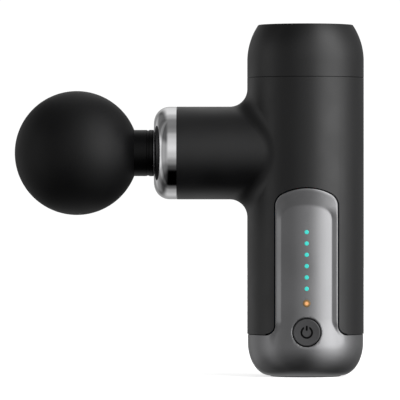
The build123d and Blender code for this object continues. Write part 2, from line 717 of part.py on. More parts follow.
def sector(half_angle, z0, z1):
    """Wedge about the handle axis that opens towards +X, half_angle degrees each way."""
    reach = 20.0
    side = reach * sin(radians(half_angle))
    outline = Polyline((0, 0), (reach, side), (reach, -side), close=True)
    return Pos(0, 0, z0) * extrude(make_face(outline), amount=z1 - z0)


def stator_core():
    """Laminated core: hub, nine teeth and their curved tips."""
    z0, z1 = CORE_Z
    hub = tube(7.7, TUBE_R, z0, z1)
    tooth = block(7.2, 13.0, -1.2, 1.2, z0, z1)
    tip = tube(CORE_R, 12.7, z0, z1) & sector(15.5, z0, z1)
    return hub + fused(around(TEETH, tooth + tip))


def stator_windings():
    """One copper coil round each tooth."""
    z0, z1 = CORE_Z
    coil = block(8.2, 12.4, -2.3, 2.3, z0 - 1.3, z1 + 1.5)
    coil = fillet(coil.edges().filter_by(Axis.X), 1.0)
    coil -= block(7, 13.2, -1.22, 1.22, z0 - 0.02, z1 + 0.02)
    return around(TEETH, coil)


def rotor_can():
    """Steel bell of the outrunner motor, with vents in its roof and a hub on the shaft."""
    z0, z1 = CAN_Z
    roof = z1 - 1.5
    can = turned([
        (CAN_INNER, z0), (CAN_R, z0), (CAN_R, z1 - 0.8), (CAN_R - 0.8, z1), (SHAFT_R, z1), (SHAFT_R, 116.9),
        (3.6, 116.9), (3.6, roof), (CAN_INNER, roof),
    ])
    for vent in around(6, disc(2.6, 110, 130, 10.2, 0)):
        can -= vent
    return can


def rotor_magnets():
    """Twelve curved magnets on the wall of the bell."""
    z0, z1 = 103.0, 114.2
    segment = tube(CAN_INNER, 14.4, z0, z1) & sector(13.4, z0, z1)
    return around(12, segment)


def motor_shaft():
    shaft = disc(SHAFT_R, CRANK_POCKET_TOP + 0.1, CAN_Z[1])
    return chamfer(shaft.edges().filter_by(GeomType.CIRCLE), 0.2)


# ---------------------------------------------------------------- leads
LEAD_R = 0.55


def motor_leads():
    """Three motor wires, down past the crankcase to the top edge of the control board."""
    leads = []
    wall_y = -19.7
    board_y = BOARD_FRONT + BOARD_T / 2
    for x in (-3.4, 0.0, 3.4):
        above = [(x, -11.0, 101.65), (x, wall_y, 101.65), (x, wall_y, 79.5)]
        below = [(x, board_y, 75.5), (x, board_y, 72.05)]
        leads.append(wire(above + below, LEAD_R, 1.2))
    return leads


def battery_leads():
    """Two wires from the front of the cradle's lower tray to the board."""
    leads = []
    for x in (-7.2, 7.2):
        points = [(x, -4.95, 14.4), (x, -7.6, 14.4), (x, -7.6, 20.0), (x, BOARD_FRONT + BOARD_T + 0.35, 22.5)]
        leads.append(wire(points, LEAD_R, 1.0))
    return leads


def charge_leads():
    """Two wires from the charging board up to the control board."""
    top = CHARGE_BOARD_Z + BOARD_T
    leads = []
    for x in (-2.0, 2.0):
        points = [(x, -7.0, top + 0.05), (x, -7.0, 13.0), (x, BOARD_FRONT + BOARD_T + 0.4, 15.4)]
        leads.append(wire(points, LEAD_R, 1.0))
    return leads


# ---------------------------------------------------------------- nose
SEAL_R = 11.0


def nose_ring():
    """Chromed ring that clamps the front of the two shells."""
    round_r = 5.6
    thick = 1.3
    inner_r = NOSE_COLLAR[1] + 0.1
    bore = SEAL_R + 0.1
    inner_round = round_r - thick
    back = BARREL_END - 0.08
    inner_front = NOSE_END + thick
    corner = (inner_front, inner_r - inner_round)
    corner_end = (inner_front + inner_round, inner_r)
    edges = [
        Line((back, inner_r), (back, NOSE_R - 0.3)),
        Line((back, NOSE_R - 0.3), (back - 0.3, NOSE_R)),
        Line((back - 0.3, NOSE_R), (NOSE_END + round_r, NOSE_R)),
        TangentArc((NOSE_END + round_r, NOSE_R), (NOSE_END, NOSE_R - round_r), tangent=(-1, 0)),
        Line((NOSE_END, NOSE_R - round_r), (NOSE_END, bore + 0.4)),
        Line((NOSE_END, bore + 0.4), (NOSE_END + 0.4, bore)),
        Line((NOSE_END + 0.4, bore), (inner_front, bore)),
        Line((inner_front, bore), corner),
        RadiusArc(corner, corner_end, inner_round),
        Line(corner_end, (back, inner_r)),
    ]
    face = Pos(0, 0, BARREL_Z) * (Plane.XZ * make_face(edges))
    return revolve(face, Axis((0, 0, BARREL_Z), (1, 0, 0)), 360)


def dust_seal():
    """Rubber wiper between the nose ring and the piston."""
    lip = NECK_R + 0.1
    back = NOSE_END + 1.35
    return turned_x([
        (NOSE_END + 0.3, lip + 0.5), (NOSE_END + 0.3, SEAL_R - 0.5), (NOSE_END + 0.6, SEAL_R - 0.1),
        (back, SEAL_R - 0.1), (back, 12.5), (back + 1.6, 12.5), (back + 1.6, lip + 0.6),
        (back + 0.8, lip), (NOSE_END + 0.9, lip),
    ])


# ---------------------------------------------------------------- ball head
SKIN_T = 2.0
CORE_BALL_R = BALL_R - SKIN_T - 0.1
CORE_WALL = 1.2
COLLAR_R = NECK_R + 0.05
SEAT_X = BALL_X + sqrt((BALL_R - SKIN_T) ** 2 - COLLAR_R**2)
STEM_END = -41.0
PLUG_R = SOCKET_R - 0.07
RING_PLACES = [-46.5, -56.5]
SPIGOT_R = 6.0


def head_stem():
    """Moulded stem: threaded spigot in the ball, collar, and the plug with two seal grooves."""
    front = SEAT_X - 8
    points = [(front, 4.0), (front, SPIGOT_R), (SEAT_X, SPIGOT_R), (SEAT_X, COLLAR_R), (-63.5, COLLAR_R)]
    points += [(-63.3, COLLAR_R - 0.2), (PISTON_FRONT - 0.04, COLLAR_R - 0.2), (PISTON_FRONT - 0.04, PLUG_R)]
    for x in reversed(RING_PLACES):
        points += [(x - 0.95, PLUG_R), (x - 0.95, PLUG_R - 1.5), (x + 0.95, PLUG_R - 1.5), (x + 0.95, PLUG_R)]
    points += [(STEM_END - 1.2, PLUG_R), (STEM_END, PLUG_R - 1.2), (STEM_END, 4.0)]
    return turned_x(points)


def stem_seals():
    """O-rings that grip the piston's socket."""
    axis = Axis((0, 0, BARREL_Z), (1, 0, 0))
    section = 0.76
    rings = []
    for x in RING_PLACES:
        circle = Pos(x, 0, BARREL_Z + PLUG_R - 0.74) * (Plane.XZ * Circle(section))
        rings.append(revolve(circle, axis, 360))
    return rings


def about_ball(edges):
    """Solid of revolution from an outline drawn about the ball's centre."""
    face = Pos(BALL_X, 0, BARREL_Z) * (Plane.XZ * make_face(edges))
    return revolve(face, Axis((0, 0, BARREL_Z), (1, 0, 0)), 360)


def ball_core():
    """Near half of the hollow plastic ball, with the boss for the stem."""
    outer = CORE_BALL_R
    inner = outer - CORE_WALL
    seat = SEAT_X - BALL_X - 0.05
    bore = SPIGOT_R + 0.02
    boss = SPIGOT_R + 1.6
    boss_back = seat - 9.5
    lip_r = inner - 0.2
    lip = 2.0
    edges = [
        RadiusArc((0, outer), (seat, sqrt(outer**2 - seat**2)), outer),
        Line((seat, sqrt(outer**2 - seat**2)), (seat, bore)),
        Line((seat, bore), (boss_back, bore)),
        Line((boss_back, bore), (boss_back, boss)),
        Line((boss_back, boss), (sqrt(inner**2 - boss**2), boss)),
        RadiusArc((sqrt(inner**2 - boss**2), boss), (lip, sqrt(inner**2 - lip**2)), -inner),
        Line((lip, sqrt(inner**2 - lip**2)), (lip, lip_r - 1.0)),
        Line((lip, lip_r - 1.0), (-lip, lip_r - 1.0)),
        Line((-lip, lip_r - 1.0), (-lip, lip_r)),
        Line((-lip, lip_r), (0, lip_r)),
        Line((0, lip_r), (0, outer)),
    ]
    return about_ball(edges)


def ball_core_lid():
    """Far half of the plastic ball."""
    outer = CORE_BALL_R
    inner = outer - CORE_WALL
    edges = [
        RadiusArc((-outer, 0), (0, outer), outer),
        Line((0, outer), (0, inner)),
        RadiusArc((0, inner), (-inner, 0), -inner),
        Line((-inner, 0), (-outer, 0)),
    ]
    return about_ball(edges)


def ball_skin():
    """Soft outer skin of the ball, open where the stem enters."""
    centre = Pos(BALL_X, 0, BARREL_Z)
    skin = centre * Sphere(BALL_R) - centre * Sphere(BALL_R - SKIN_T)
    return skin - bar_x(COLLAR_R + 0.03, BALL_X, BALL_X + 40)


# ---------------------------------------------------------------- write every sub-part
def shell_screws():
    places = shell_screw_places()
    return [screw_y(x, z, seat, SHELL_SCREW_LENGTH, shank=0.79) for x, z, _, seat, _ in places]


def write(name, shape):
    """Writes one sub-part; a list becomes a group of separate solids."""
    solids = []
    for piece in shape if isinstance(shape, list) else [shape]:
        solids += piece.solids()
    group = solids[0] if len(solids) == 1 else Compound(children=solids)
    group.label = name
    export_step(group, f"parts/{name}.step")
    print(f"{name}: {len(solids)} solids")


def main():
    os.makedirs("parts", exist_ok=True)
    front, rear = housing_shells()
    write("front_shell", front)
    write("rear_shell", rear)
    write("shell_screws", shell_screws())
    write("top_cap", top_cap())
    write("base_cap", base_cap())
    write("foot_pad", foot_pad())
    write("nose_ring", nose_ring())
    write("dust_seal", dust_seal())
    write("power_button", power_button())
    write("power_symbol", symbol_solid(0.01))
    write("speed_light_pipes", [light_pipe(z, LIGHT_R) for z in SPEED_LIGHTS])
    write("charge_light_pipe", light_pipe(CHARGE_LIGHT, CHARGE_LIGHT_R))
    write("control_board", control_board())
    write("board_screws", board_screws())
    write("status_leds", status_leds())
    write("tact_switch", tact_switch())
    write("switch_plunger", switch_plunger())
    write("control_chips", control_chips())
    write("charge_board", charge_board())
    write("charge_board_screws", charge_board_screws())
    write("charge_chips", charge_chip())
    write("usb_c_socket", usb_c_socket())
    write("battery_cells", [battery_cell(x, y) for x, y in CELL_PLACES])
    write("battery_cradle", battery_cradle())
    write("cell_tabs", cell_tabs())
    write("cell_insulators", cell_insulators())
    write("drive_frame", drive_frame())
    write("front_bushing", bushing(-57.0, -47.0))
    write("rear_bushing", bushing(-38.0, -30.0))
    write("barrel_dampers", [barrel_damper(x) for x in (-48.0, -31.0)])
    write("piston", piston())
    write("wrist_pin", wrist_pin())
    write("connecting_rod", connecting_rod())
    write("big_end_bearing", big_end_bearing())
    write("small_end_bush", small_end_bush())
    write("crank_pin", crank_pin())
    write("flywheel", flywheel())
    write("motor_mount", motor_mount())
    write("motor_mount_screws", mount_screws())
    write("motor_bearings", motor_bearings())
    write("stator_core", stator_core())
    write("stator_windings", stator_windings())
    write("rotor_can", rotor_can())
    write("rotor_magnets", rotor_magnets())
    write("motor_shaft", motor_shaft())
    write("motor_leads", motor_leads())
    write("battery_leads", battery_leads())
    write("charge_leads", charge_leads())
    write("head_stem", head_stem())
    write("stem_seals", stem_seals())
    write("ball_core", ball_core())
    write("ball_core_lid", ball_core_lid())
    write("ball_skin", ball_skin())
    print(f"connecting rod swings {ROD_SWING:.3f} degrees each way")


main()
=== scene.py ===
import bpy
import json
from math import asin, atan2, cos, degrees, hypot, pi, radians, sin, sqrt
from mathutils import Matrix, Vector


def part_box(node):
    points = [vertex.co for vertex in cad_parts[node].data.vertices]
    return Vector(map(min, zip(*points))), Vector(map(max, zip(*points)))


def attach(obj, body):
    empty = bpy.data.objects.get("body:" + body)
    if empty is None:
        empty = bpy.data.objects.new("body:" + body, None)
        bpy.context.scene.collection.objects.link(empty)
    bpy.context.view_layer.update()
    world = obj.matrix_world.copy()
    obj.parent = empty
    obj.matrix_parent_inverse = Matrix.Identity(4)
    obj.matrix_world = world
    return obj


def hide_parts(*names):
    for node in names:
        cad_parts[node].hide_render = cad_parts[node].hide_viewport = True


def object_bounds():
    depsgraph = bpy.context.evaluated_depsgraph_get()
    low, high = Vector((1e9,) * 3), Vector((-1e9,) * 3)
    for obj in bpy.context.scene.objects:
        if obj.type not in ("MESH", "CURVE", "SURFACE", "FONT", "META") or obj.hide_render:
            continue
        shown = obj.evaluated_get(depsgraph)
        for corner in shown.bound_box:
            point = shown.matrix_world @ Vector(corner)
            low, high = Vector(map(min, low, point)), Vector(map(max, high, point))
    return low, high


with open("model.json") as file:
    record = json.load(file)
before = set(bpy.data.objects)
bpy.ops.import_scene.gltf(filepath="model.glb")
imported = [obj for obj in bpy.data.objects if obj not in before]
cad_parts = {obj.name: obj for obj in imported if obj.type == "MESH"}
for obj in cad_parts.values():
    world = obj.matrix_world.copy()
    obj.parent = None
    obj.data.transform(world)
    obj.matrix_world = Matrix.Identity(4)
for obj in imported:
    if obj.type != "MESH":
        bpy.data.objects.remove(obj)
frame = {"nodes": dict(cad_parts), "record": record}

# The looks of a compact massage gun. Every length is in metres, in the frame of the CAD model:
# +Z up the handle, -X towards the ball, -Y towards the control panel.

MM = 0.001
NODES = frame["nodes"]
CAD_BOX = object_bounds()


# ---------------------------------------------------------------- camera
def make_camera():
    """Level view along +Y from far away, so that the picture is nearly a side elevation."""
    low, high = CAD_BOX
    data = bpy.data.cameras.new("camera")
    data.sensor_width = 36.0
    data.lens = 423.0
    data.clip_end = 20.0
    camera = bpy.data.objects.new("camera", data)
    camera.location = (-0.0422, -1.88, high[2] * 0.5015)
    camera.rotation_euler = (radians(90), 0, 0)
    bpy.context.scene.collection.objects.link(camera)
    bpy.context.scene.camera = camera


make_camera()


# ---------------------------------------------------------------- node helpers
class Tree:
    """Short calls for building a node tree, from nothing unless keep is set."""

    def __init__(self, tree, keep=False):
        self.tree = tree
        if not keep:
            tree.nodes.clear()

    def node(self, kind, **settings):
        made = self.tree.nodes.new(kind)
        for key, value in settings.items():
            setattr(made, key, value)
        return made

    def link(self, source, target):
        self.tree.links.new(source, target)

    def value(self, socket, value):
        """Links an output, or sets a plain value."""
        if isinstance(value, bpy.types.NodeSocket):
            self.link(value, socket)
        else:
            socket.default_value = value

    def math(self, operation, a, b=0.0, clamp=False):
        made = self.node("ShaderNodeMath", operation=operation, use_clamp=clamp)
        self.value(made.inputs[0], a)
        self.value(made.inputs[1], b)
        return made.outputs[0]

    def ramp(self, x, x0, x1, y0=0.0, y1=1.0, smooth=True):
        """Maps x from x0..x1 to y0..y1, and holds the ends."""
        kind = "SMOOTHSTEP" if smooth else "LINEAR"
        made = self.node("ShaderNodeMapRange", interpolation_type=kind, clamp=True)
        self.value(made.inputs["Value"], x)
        made.inputs["From Min"].default_value = x0
        made.inputs["From Max"].default_value = x1
        made.inputs["To Min"].default_value = y0
        made.inputs["To Max"].default_value = y1
        return made.outputs["Result"]

    def noise(self, coords, scale, detail=2.0, rough=0.5):
        made = self.node("ShaderNodeTexNoise")
        self.link(coords, made.inputs["Vector"])
        made.inputs["Scale"].default_value = scale
        made.inputs["Detail"].default_value = detail
        made.inputs["Roughness"].default_value = rough
        return made.outputs["Fac"]

    def mix_colour(self, factor, a, b):
        made = self.node("ShaderNodeMix", data_type="RGBA")
        self.value(made.inputs[0], factor)
        self.value(made.inputs[6], a)
        self.value(made.inputs[7], b)
        return made.outputs[2]


# ---------------------------------------------------------------- studio light
# The room as a list of light panels. A bearing is in degrees: 0 is the camera's side, positive to the
# right. A rise is in degrees along the upright circle through the camera, up and over the object.
BEARINGS = [
    (-180, 0.18), (-155, 0.24), (-138, 0.50), (-122, 0.52), (-108, 0.40), (-95, 0.50), (-82, 0.95),
    (-70, 0.80), (-58, 0.34), (-44, 0.38), (-28, 0.33), (-14, 0.42), (0, 0.68), (12, 1.02), (24, 1.80),
    (36, 2.95), (50, 3.60), (64, 3.40), (76, 2.25), (88, 1.15), (102, 0.60), (120, 0.38), (145, 0.26),
    (180, 0.18),
]
RISES = [
    (-180, 0.36), (-150, 0.36), (-128, 0.56), (-108, 0.36), (-96, 0.12), (-86, 0.0), (-48, 0.0),
    (-36, 0.06), (-22, 0.26), (-6, 0.56), (12, 0.78), (30, 0.66), (44, 0.52), (56, 0.26), (68, 0.20),
    (88, 0.22), (102, 0.42), (120, 0.76), (142, 0.72), (180, 0.36),
]
# How the panels of each side fade with height, in degrees above the level.
RIGHT_HEIGHTS = [
    (-90, 0.0), (-62, 0.05), (-44, 0.08), (-30, 0.22), (-14, 0.58), (2, 1.0), (46, 1.0), (62, 0.4),
    (90, 0.2),
]
LEFT_HEIGHTS = [
    (-90, 0.0), (-56, 0.10), (-32, 0.45), (-14, 1.0), (16, 1.0), (34, 0.30), (60, 0.24), (90, 0.2),
]
BRIGHTEST = 3.6               # strength of the brightest panel
SIDE_BLEND = (0.10, 0.42)     # sideways part of a direction, where the upright light gives way
BACKDROP = 1.05               # what the camera itself sees of the room
FLOOR_HALF_SIDE = 3.0
FLOOR_TONE = 0.85
FLOOR_GLOW = 0.72             # light of its own, so that the floor is as white as the backdrop


def profile(tree, angle, stops, low, high):
    """Strength at an angle, eased between (angle, strength) stops from low to high degrees."""
    place = tree.ramp(angle, low, high, smooth=False)
    ramp = tree.node("ShaderNodeValToRGB")
    tree.link(place, ramp.inputs[0])
    band = ramp.color_ramp
    band.interpolation = "EASE"
    while len(band.elements) < len(stops):
        band.elements.new(0.5)
    for element, (stop, strength) in zip(band.elements, stops):
        element.position = (stop - low) / (high - low)
    for element, (stop, strength) in zip(band.elements, stops):
        grey = strength / BRIGHTEST
        element.color = (grey, grey, grey, 1)
    return tree.math("MULTIPLY", ramp.outputs[0], BRIGHTEST)


def make_world():
    """White surroundings to look at, and soft light panels round the object to reflect."""
    world = bpy.data.worlds.new("studio")
    world.use_nodes = True
    bpy.context.scene.world = world
    tree = Tree(world.node_tree)
    coords = tree.node("ShaderNodeTexCoord")
    axes = tree.node("ShaderNodeSeparateXYZ")
    tree.link(coords.outputs["Generated"], axes.inputs[0])
    x, y, z = axes.outputs
    front = tree.math("MULTIPLY", y, -1.0)
    bearing = tree.math("DEGREES", tree.math("ARCTAN2", x, front))
    rise = tree.math("DEGREES", tree.math("ARCTAN2", z, front))
    height = tree.math("DEGREES", tree.math("ARCSINE", z))
    level = profile(tree, bearing, BEARINGS, -180, 180)
    upright = profile(tree, rise, RISES, -180, 180)
    right = profile(tree, height, RIGHT_HEIGHTS, -90, 90)
    left = profile(tree, height, LEFT_HEIGHTS, -90, 90)
    to_right = tree.ramp(x, -0.05, 0.05)
    fade = tree.math("ADD", tree.math("MULTIPLY", right, to_right),
                     tree.math("MULTIPLY", left, tree.math("SUBTRACT", 1.0, to_right)))
    sideways = tree.ramp(tree.math("ABSOLUTE", x), *SIDE_BLEND)
    around = tree.math("MULTIPLY", tree.math("MULTIPLY", level, fade), sideways)
    over = tree.math("MULTIPLY", upright, tree.math("SUBTRACT", 1.0, sideways))
    total = tree.math("ADD", around, over)

    rays = tree.node("ShaderNodeLightPath")
    strength = tree.node("ShaderNodeMix", data_type="FLOAT")
    tree.link(rays.outputs["Is Camera Ray"], strength.inputs[0])
    tree.link(total, strength.inputs[2])
    strength.inputs[3].default_value = BACKDROP
    background = tree.node("ShaderNodeBackground")
    background.inputs["Color"].default_value = (1, 1, 1, 1)
    tree.link(strength.outputs[0], background.inputs["Strength"])
    output = tree.node("ShaderNodeOutputWorld")
    tree.link(background.outputs[0], output.inputs[0])


def make_floor():
    """Pale floor with a faint contact shadow. The object's shading doesn't see it."""
    half = FLOOR_HALF_SIDE
    corners = [(-half, -half, 0), (half, -half, 0), (half, half, 0), (-half, half, 0)]
    mesh = bpy.data.meshes.new("floor")
    mesh.from_pydata(corners, [], [(0, 1, 2, 3)])
    floor = bpy.data.objects.new("floor", mesh)
    bpy.context.scene.collection.objects.link(floor)
    material = bpy.data.materials.new("floor_white")
    material.use_nodes = True
    tree = Tree(material.node_tree)
    matt = tree.node("ShaderNodeBsdfDiffuse")
    matt.inputs["Color"].default_value = (FLOOR_TONE, FLOOR_TONE, FLOOR_TONE, 1)
    glow = tree.node("ShaderNodeEmission")
    glow.inputs["Strength"].default_value = FLOOR_GLOW
    both = tree.node("ShaderNodeAddShader")
    tree.link(matt.outputs[0], both.inputs[0])
    tree.link(glow.outputs[0], both.inputs[1])
    output = tree.node("ShaderNodeOutputMaterial")
    tree.link(both.outputs[0], output.inputs[0])
    mesh.materials.append(material)
    floor.visible_glossy = False
    floor.visible_diffuse = False
    floor.visible_shadow = False


make_world()
make_floor()
bpy.context.scene.view_settings.view_transform = "Standard"


# ---------------------------------------------------------------- materials
def surface(name, colour, rough, metal=0.0, grain=(900.0, 0.00002), spread=0.04, tone=0.12, specular=0.5,
            brushed=None, coat=0.0, glow=None):
    """Procedural finish.

    grain is (cells per metre, depth in metres) of the fine surface relief. spread and tone are how far the
    roughness and the colour wander over the surface. brushed stretches the relief along one axis.
    """
    material = bpy.data.materials.new(name)
    material.use_nodes = True
    tree = Tree(material.node_tree)
    coords = tree.node("ShaderNodeTexCoord").outputs["Object"]
    if brushed:
        stretch = tree.node("ShaderNodeMapping")
        stretch.inputs["Scale"].default_value = brushed
        tree.link(coords, stretch.inputs["Vector"])
        fine = stretch.outputs[0]
    else:
        fine = coords
    shader = tree.node("ShaderNodeBsdfPrincipled")
    clouds = tree.noise(coords, 60.0, 3.0)
    relief = tree.noise(fine, grain[0], 3.0, 0.6)
    dark = [c * (1 - tone) for c in colour] + [1]
    light = [min(1, c * (1 + tone)) for c in colour] + [1]
    wide = tree.math("MULTIPLY", clouds, 0.6)
    narrow = tree.math("MULTIPLY", relief, 0.4)
    mottle = tree.ramp(tree.math("ADD", wide, narrow), 0.35, 0.65)
    tree.link(tree.mix_colour(mottle, dark, light), shader.inputs["Base Color"])
    tree.link(tree.ramp(clouds, 0.3, 0.7, rough - spread, rough + spread), shader.inputs["Roughness"])
    bump = tree.node("ShaderNodeBump")
    bump.inputs["Strength"].default_value = 1.0
    bump.inputs["Distance"].default_value = grain[1]
    tree.link(relief, bump.inputs["Height"])
    tree.link(bump.outputs[0], shader.inputs["Normal"])
    shader.inputs["Metallic"].default_value = metal
    shader.inputs["Specular IOR Level"].default_value = specular
    shader.inputs["Coat Weight"].default_value = coat
    if glow:
        shader.inputs["Emission Color"].default_value = (*glow[0], 1)
        shader.inputs["Emission Strength"].default_value = glow[1]
    output = tree.node("ShaderNodeOutputMaterial")
    tree.link(shader.outputs[0], output.inputs[0])
    return material


FINISHES = {
    "housing_black": surface("housing_black", (0.0030, 0.0030, 0.0034), 0.39, grain=(2600, 0.000012)),
    "cap_black": surface("cap_black", (0.0030, 0.0030, 0.0034), 0.39, grain=(2600, 0.000012)),
    "gunmetal": surface("gunmetal", (0.222, 0.222, 0.227), 0.34, metal=0.9, grain=(3800, 0.000006), tone=0.06,
                        coat=0.2),
    "foot_rubber": surface("foot_rubber", (0.012, 0.012, 0.012), 0.7, grain=(1500, 0.00003)),
    "nose_chrome": surface("nose_chrome", (0.90, 0.90, 0.91), 0.06, metal=1.0, grain=(700, 0.0000008),
                           spread=0.015, tone=0.02),
    "seal_rubber": surface("seal_rubber", (0.010, 0.010, 0.010), 0.6, grain=(1800, 0.00002)),
    "button_grey": surface("button_grey", (0.045, 0.045, 0.047), 0.42, grain=(3000, 0.00001)),
    "symbol_black": surface("symbol_black", (0.001, 0.001, 0.001), 0.5, grain=(2500, 0.000004),
                            specular=0.08),
    "switch_plastic": surface("switch_plastic", (0.02, 0.02, 0.02), 0.5),
    "cyan_light": surface("cyan_light", (0.02, 0.35, 0.33), 0.25, grain=(2000, 0.000003),
                          glow=((0.07, 0.80, 0.68), 0.55)),
    "amber_light": surface("amber_light", (0.60, 0.22, 0.08), 0.3, grain=(2000, 0.000003),
                           glow=((1.0, 0.36, 0.12), 0.55)),
    "circuit_green": surface("circuit_green", (0.02, 0.14, 0.06), 0.35, grain=(2500, 0.00002), coat=0.3),
    "screw_steel": surface("screw_steel", (0.35, 0.35, 0.36), 0.3, metal=1.0, grain=(3000, 0.000004)),
    "led_ceramic": surface("led_ceramic", (0.80, 0.80, 0.74), 0.4, grain=(4000, 0.000004)),
    "chip_black": surface("chip_black", (0.015, 0.015, 0.016), 0.45, grain=(4000, 0.00001)),
    "socket_steel": surface("socket_steel", (0.60, 0.60, 0.62), 0.25, metal=1.0, grain=(3000, 0.000004)),
    "cell_wrap": surface("cell_wrap", (0.03, 0.14, 0.32), 0.3, grain=(500, 0.00001), coat=0.4),
    "inner_plastic": surface("inner_plastic", (0.07, 0.07, 0.07), 0.5, grain=(1500, 0.00002)),
    "nickel": surface("nickel", (0.66, 0.62, 0.55), 0.3, metal=1.0, brushed=(1, 12, 1),
                      grain=(900, 0.000004)),
    "insulator_paper": surface("insulator_paper", (0.78, 0.76, 0.70), 0.9, grain=(2500, 0.00002)),
    "cast_aluminium": surface("cast_aluminium", (0.52, 0.53, 0.55), 0.45, metal=1.0, grain=(1600, 0.00003)),
    "bushing_white": surface("bushing_white", (0.62, 0.61, 0.57), 0.4, grain=(1800, 0.000008)),
    "bushing_brass": surface("bushing_brass", (0.62, 0.42, 0.16), 0.3, metal=1.0, grain=(1400, 0.000006)),
    "piston_aluminium": surface("piston_aluminium", (0.002, 0.002, 0.0022), 0.3, grain=(1800, 0.000006),
                                brushed=(8, 1, 1), specular=0.14),
    "pin_steel": surface("pin_steel", (0.62, 0.62, 0.64), 0.16, metal=1.0, grain=(2400, 0.000002)),
    "wheel_steel": surface("wheel_steel", (0.30, 0.30, 0.31), 0.32, metal=1.0, grain=(1600, 0.000006)),
    "core_steel": surface("core_steel", (0.22, 0.22, 0.23), 0.42, metal=1.0, brushed=(1, 1, 30),
                          grain=(120, 0.00004)),
    "copper_wire": surface("copper_wire", (0.72, 0.26, 0.11), 0.25, metal=1.0, brushed=(1, 1, 6),
                           grain=(420, 0.00012)),
    "magnet_nickel": surface("magnet_nickel", (0.55, 0.55, 0.56), 0.2, metal=1.0, grain=(1200, 0.000004)),
    "lead_sleeve": surface("lead_sleeve", (0.35, 0.02, 0.02), 0.45, grain=(1500, 0.00001)),
    "neck_black": surface("neck_black", (0.002, 0.002, 0.0022), 0.32, grain=(2600, 0.000008), specular=0.14),
    "ball_rubber": surface("ball_rubber", (0.0030, 0.0030, 0.0033), 0.50, grain=(1500, 0.00003),
                           specular=0.21),
}


LENS_CORE = (0.4 * MM, 1.1 * MM)     # distances from the axis, where the bright core fades out
RIM_OLIVE = (0.30, 0.17, 0.02, 1)
CORE_AMBER = (1.0, 0.42, 0.16, 1)
CORE_GLOW = 0.75
RIM_GLOW = 0.10


def charge_lens():
    """Amber lens with a bright core and a dim olive rim, about the charge light's own axis."""
    material = surface("charge_lens", (0.22, 0.13, 0.05), 0.3, grain=(2000, 0.000003))
    tree = Tree(material.node_tree, keep=True)
    shader = next(n for n in material.node_tree.nodes if n.type == "BSDF_PRINCIPLED")
    low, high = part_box("charge_light_pipe")
    centre = [(a + b) / 2 for a, b in zip(low, high)]
    across = tree.node("ShaderNodeVectorMath", operation="SUBTRACT")
    tree.link(tree.node("ShaderNodeTexCoord").outputs["Object"], across.inputs[0])
    across.inputs[1].default_value = centre
    flat = tree.node("ShaderNodeVectorMath", operation="MULTIPLY")
    tree.link(across.outputs[0], flat.inputs[0])
    flat.inputs[1].default_value = (1, 0, 1)
    length = tree.node("ShaderNodeVectorMath", operation="LENGTH")
    tree.link(flat.outputs[0], length.inputs[0])
    core = tree.ramp(length.outputs["Value"], *LENS_CORE, 1.0, 0.0)
    warm = tree.mix_colour(core, RIM_OLIVE, CORE_AMBER)
    tree.link(warm, shader.inputs["Emission Color"])
    strength = tree.math("ADD", tree.math("MULTIPLY", core, CORE_GLOW), RIM_GLOW)
    tree.link(strength, shader.inputs["Emission Strength"])
    return material


def dress_nodes():
    """Every CAD node takes the finish of its slot, and the charge light its own lens."""
    slots = {row["node"]: row["material_slot"] for row in frame["record"]["subparts"]}
    for name, node in NODES.items():
        node.data.materials.clear()
        node.data.materials.append(FINISHES[slots[name]])
    NODES["charge_light_pipe"].data.materials[0] = charge_lens()


dress_nodes()


# ---------------------------------------------------------------- base with the control panel
# A closed cup whose outer face is given as a radius about the handle axis, at each x and z. The tongue
# of the control panel stands up from its front, and the finger scoop is a smooth dip in that radius.
BASE_LOW, BASE_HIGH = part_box("base_cap")
BASE_R = BASE_HIGH[0]
TONGUE_TOP = BASE_HIGH[2]
CUP_BOTTOM = BASE_LOW[2]
CUP_TOP = 16.85 * MM
CUP_SHOULDER = 13.5 * MM      # height where the rounded foot begins
CUP_FLAT = 14.2 * MM          # radius of the flat under the foot
CUP_INNER = BASE_R - 1.6 * MM
TONGUE_HALF = 12.5 * MM
TONGUE_CORNER = 5.4 * MM
TONGUE_ARCH = 21.0 * MM       # radius of the tongue's arched top edge
TONGUE_INNER = 18.8 * MM
FOOT_R = 3.7 * MM             # flare of the tongue into the cup
FOOT_TOP = 20.7 * MM
FLOOR_DEPTH = 1.1 * MM
FLOOR_HALF = 9.85 * MM
FLOOR_TOP = 67.9 * MM
FLOOR_ARCH = 20.0 * MM
FLOOR_CORNER = 4.4 * MM
RIM = 0.25 * MM               # land between the tongue's edge and the slope of the scoop
EDGE_ROUND = 0.32 * MM
RAMP = (11.0 * MM, 23.5 * MM)
BUTTON_Z = 18.0 * MM
BUTTON_HOLE = 5.8 * MM
PORT_Z = 9.3 * MM
PORT_HALF = (4.72 * MM, 1.88 * MM)
SPEED_LIGHTS = [(35.3 + 4.48 * i) * MM for i in range(6)]
CHARGE_LIGHT = 29.5 * MM
LIGHT_HOLE = 0.88 * MM
CHARGE_HOLE = 1.53 * MM


def smooth(t):
    t = min(1.0, max(0.0, t))
    return t * t * (3 - 2 * t)


def eased_line(t, ease=0.13):
    """Straight from 0 to 1, with a short bend at each end."""
    if t > 0.5:
        return 1 - eased_line(1 - t, ease)
    slope = 1 / (1 - ease)
    if t < ease:
        return slope * t * t / (2 * ease)
    return slope * (t - ease / 2)


def arch_fit(half, corner, arch):
    """Height of the corner's centre above the arch's centre, where the two round off without a kink."""
    return sqrt((arch - corner) ** 2 - (half - corner) ** 2)


def inside_arch(x, z, half, top, corner, arch):
    """Distance inside an upright strip with an arched, round-cornered top; negative outside it."""
    rise = arch_fit(half, corner, arch)
    corner_x = half - corner
    across = abs(x) - corner_x
    up = z - (top - arch) - rise
    if across > 0 and up > 0 and across * rise > up * corner_x:
        return corner - hypot(across, up)
    return min(half - abs(x), arch - hypot(x, max(0.0, z - top + arch)))


